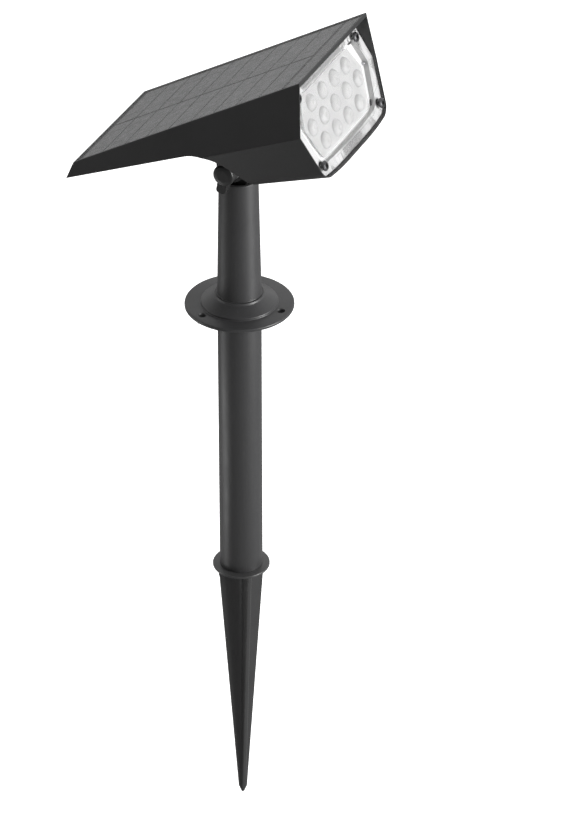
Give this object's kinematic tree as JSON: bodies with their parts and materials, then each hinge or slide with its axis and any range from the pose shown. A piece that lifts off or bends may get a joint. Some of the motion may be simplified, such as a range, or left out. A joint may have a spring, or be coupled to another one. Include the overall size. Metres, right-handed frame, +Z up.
{
  "type": "solar garden spotlight",
  "caption": "Ground-spike solar spotlight: wedge head with a full-length panel on top and a visored LED lens, tilting on a flanged pole with a wing-knob hinge.",
  "frame": {"origin": "on the pole's axis at the underside of the spike's ground collar, which rests on the soil", "axes": "+Z up along the pole, -Y the way the lamp faces, X lateral; the wing knob is on the -X side"},
  "size_m": [0.1034, 0.1552, 0.5191],
  "materials": {
    "black_plastic": "fine textured moulding",
    "tube_black": "satin powder coat",
    "knob_plastic": "satin moulding",
    "steel": "zinc plated",
    "brass": "machined",
    "nylon": "plain",
    "pcb_white": "solder mask",
    "pcb_green": "solder mask",
    "cells": "silicon",
    "ribbon": "tinned copper",
    "clear_cover": "satin clear laminate",
    "clear_lens": "clear polycarbonate",
    "silicone": "soft",
    "led": "phosphor",
    "battery_wrap": "shrink sleeve",
    "cradle": "plain",
    "component": "plain",
    "button_rubber": "soft",
    "wire_red": "insulation",
    "wire_black": "insulation"
  },
  "bodies": {
    "ground_stake": {"ground_spike": "black_plastic", "extension_tube": "tube_black"},
    "pole": {"upper_pole": "black_plastic", "hinge_tongue": "black_plastic"},
    "knob_carrier": {"knob_washer": "steel"},
    "knob": {"wing_knob": "knob_plastic", "knob_nut": "brass"},
    "button": {"power_button": "button_rubber"},
    "head": {"battery_cell": "battery_wrap", "battery_cradle": "cradle", "battery_lead_black": "wire_black", "battery_lead_red": "wire_red", "battery_tabs": "steel", "board_parts": "component", "board_posts": "nylon", "board_screws": "steel", "cell_ribbons": "ribbon", "control_board": "pcb_green", "friction_washers": "nylon", "hinge_bolt": "steel", "housing_screws": "steel", "led_board": "pcb_white", "led_chips": "led", "led_lead_black": "wire_black", "led_lead_red": "wire_red", "lens_array": "clear_lens", "lens_cover": "clear_lens", "lens_gasket": "silicone", "lens_screws": "steel", "lower_housing": "black_plastic", "panel_backing": "pcb_white", "panel_cover": "clear_cover", "panel_lead_black": "wire_black", "panel_lead_red": "wire_red", "push_switch": "component", "solar_cells": "cells", "upper_housing": "black_plastic"}
  },
  "joints": [
    {"name": "pole_swivel", "type": "hinge", "parent": "ground_stake", "child": "pole", "pos_m": [0, 0, 0.177], "axis": [0, 0, 1], "continuous": true},
    {"name": "head_tilt", "type": "hinge", "parent": "pole", "child": "head", "pos_m": [0, 0, 0.27], "axis": [1, 0, 0], "range_deg": [-60, 60]},
    {"name": "knob_travel", "type": "slide", "parent": "head", "child": "knob_carrier", "axis": [-1, 0, 0], "range_m": [0, 0.0016]},
    {"name": "knob_turn", "type": "hinge", "parent": "knob_carrier", "child": "knob", "pos_m": [-0.0166, 0, 0.27], "axis": [-1, 0, 0], "range_deg": [0, 720]},
    {"name": "button_press", "type": "slide", "parent": "head", "child": "button", "axis": [0, 0.2286, 0.9735], "range_m": [0, 0.0012], "stiffness_N_per_m": 800}
  ],
  "couplings": [
    {"joint": "knob_turn", "follows": "knob_travel", "rad_per_m": 7854}
  ]
}
